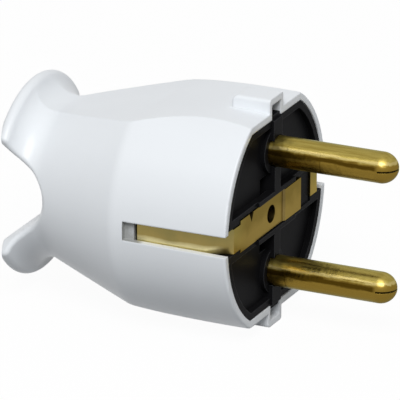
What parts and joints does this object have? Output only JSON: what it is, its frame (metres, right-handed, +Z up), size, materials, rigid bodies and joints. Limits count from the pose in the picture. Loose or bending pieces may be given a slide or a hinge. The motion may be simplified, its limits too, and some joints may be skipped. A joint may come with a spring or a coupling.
{
  "type": "type f plug",
  "caption": "Rewirable round mains plug with two round pins, side earth contacts, guide ribs on its flats and two finger ears round the cord inlet.",
  "frame": {"origin": "centre of the mating face, midway between the two pins", "axes": "+X along the pins to their tips, +Z up through both pins, +Y to the left when looking along the pins"},
  "size_m": [0.0614, 0.0364, 0.0362],
  "materials": {
    "white_plastic": "smooth moulded",
    "black_plastic": "fine matt moulded",
    "pin_brass": "turned, worn",
    "strap_brass": "stamped",
    "zinc_steel": "zinc plated"
  },
  "bodies": {
    "root": {"housing": "white_plastic", "contact_carrier": "black_plastic", "pin_upper": "pin_brass", "pin_lower": "pin_brass", "terminal_screws": "zinc_steel", "earth_strap": "strap_brass", "earth_screw": "zinc_steel", "earth_clamp_plate": "zinc_steel", "cord_clamp_bar": "black_plastic", "cord_clamp_screws": "zinc_steel", "cord_clamp_nuts": "zinc_steel"}
  },
  "joints": []
}
